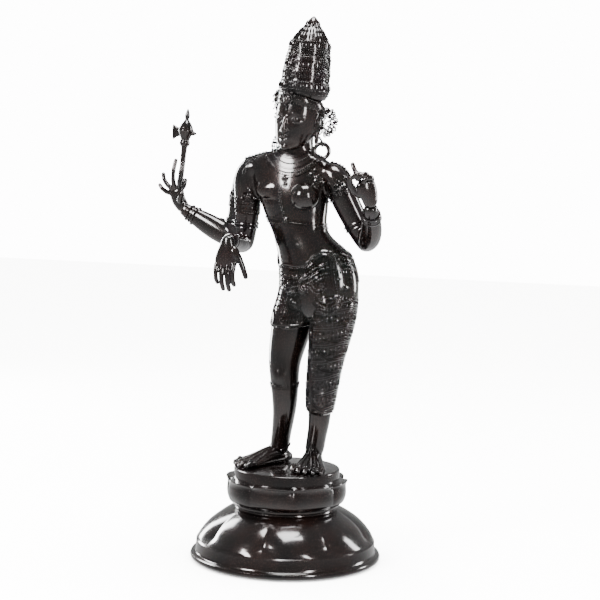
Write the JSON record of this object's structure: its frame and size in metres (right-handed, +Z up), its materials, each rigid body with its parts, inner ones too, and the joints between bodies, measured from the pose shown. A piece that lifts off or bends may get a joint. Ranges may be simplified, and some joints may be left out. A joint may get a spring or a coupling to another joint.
{
  "type": "ardhanarishvara figure",
  "caption": "Standing cast bronze figure, half male and half female, with a tall crown, dress and jewellery, a raised battle axe, on a round double-lotus plinth.",
  "frame": {"origin": "middle of the plinth's flat underside", "axes": "+Z up, -Y the way the figure faces, +X towards its own left, female, side"},
  "size_m": [0.4375, 0.32, 0.9013],
  "materials": {
    "black_bronze": "cast bronze with a near-black brown patina, waxed and rubbed to a gloss"
  },
  "bodies": {
    "root": {"bronze_figure": "black_bronze", "lotus_plinth": "black_bronze"}
  },
  "joints": []
}
